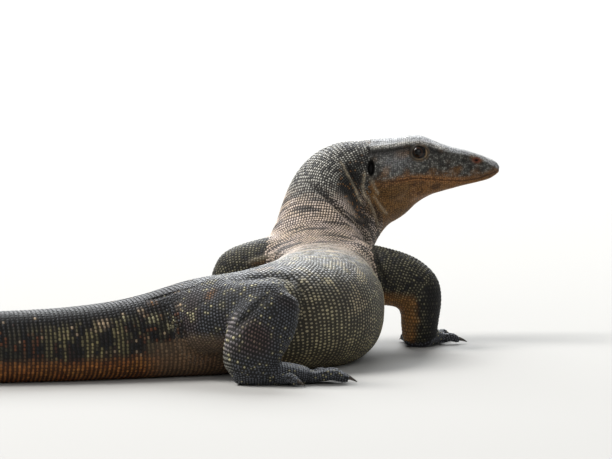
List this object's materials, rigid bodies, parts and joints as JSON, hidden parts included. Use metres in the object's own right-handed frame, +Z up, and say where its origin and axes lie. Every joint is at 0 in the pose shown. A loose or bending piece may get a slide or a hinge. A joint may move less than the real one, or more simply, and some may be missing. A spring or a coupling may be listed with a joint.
{
  "type": "water monitor lizard model",
  "caption": "Life-size still model of a water monitor lizard lying on its belly with raised head turned to its right and a long tail laid out behind.",
  "frame": {"origin": "on the floor, in the middle of the box round the whole animal", "axes": "+Z up; the tail runs towards -X, the snout points along +X, and the shoulders lie towards +Y"},
  "size_m": [1.1229, 0.4513, 0.1828],
  "materials": {
    "back_skin": "beaded scales, charcoal with cream dots",
    "tail_skin": "ringed scales, dark above and rusty below",
    "leg_skin": "small round scales, dark with cream dots",
    "head_skin": "small smooth plates, grey brown",
    "throat_skin": "fine loose skin, orange brown with dark specks",
    "eye_gloss": "wet dark eye"
  },
  "bodies": {
    "root": {"head": "head_skin", "lower_jaw": "throat_skin", "throat": "throat_skin", "neck": "back_skin", "chest": "back_skin", "belly": "back_skin", "hips": "back_skin", "tail_1": "tail_skin", "tail_2": "tail_skin", "tail_3": "tail_skin", "tail_4": "tail_skin", "tail_5": "tail_skin", "right_upper_arm": "leg_skin", "right_forearm": "leg_skin", "right_hand": "leg_skin", "left_upper_arm": "leg_skin", "left_forearm": "leg_skin", "left_hand": "leg_skin", "right_thigh": "leg_skin", "right_shin": "leg_skin", "right_foot": "leg_skin", "left_thigh": "leg_skin", "left_shin": "leg_skin", "left_foot": "leg_skin", "right_eye": "eye_gloss", "left_eye": "eye_gloss"}
  },
  "joints": []
}
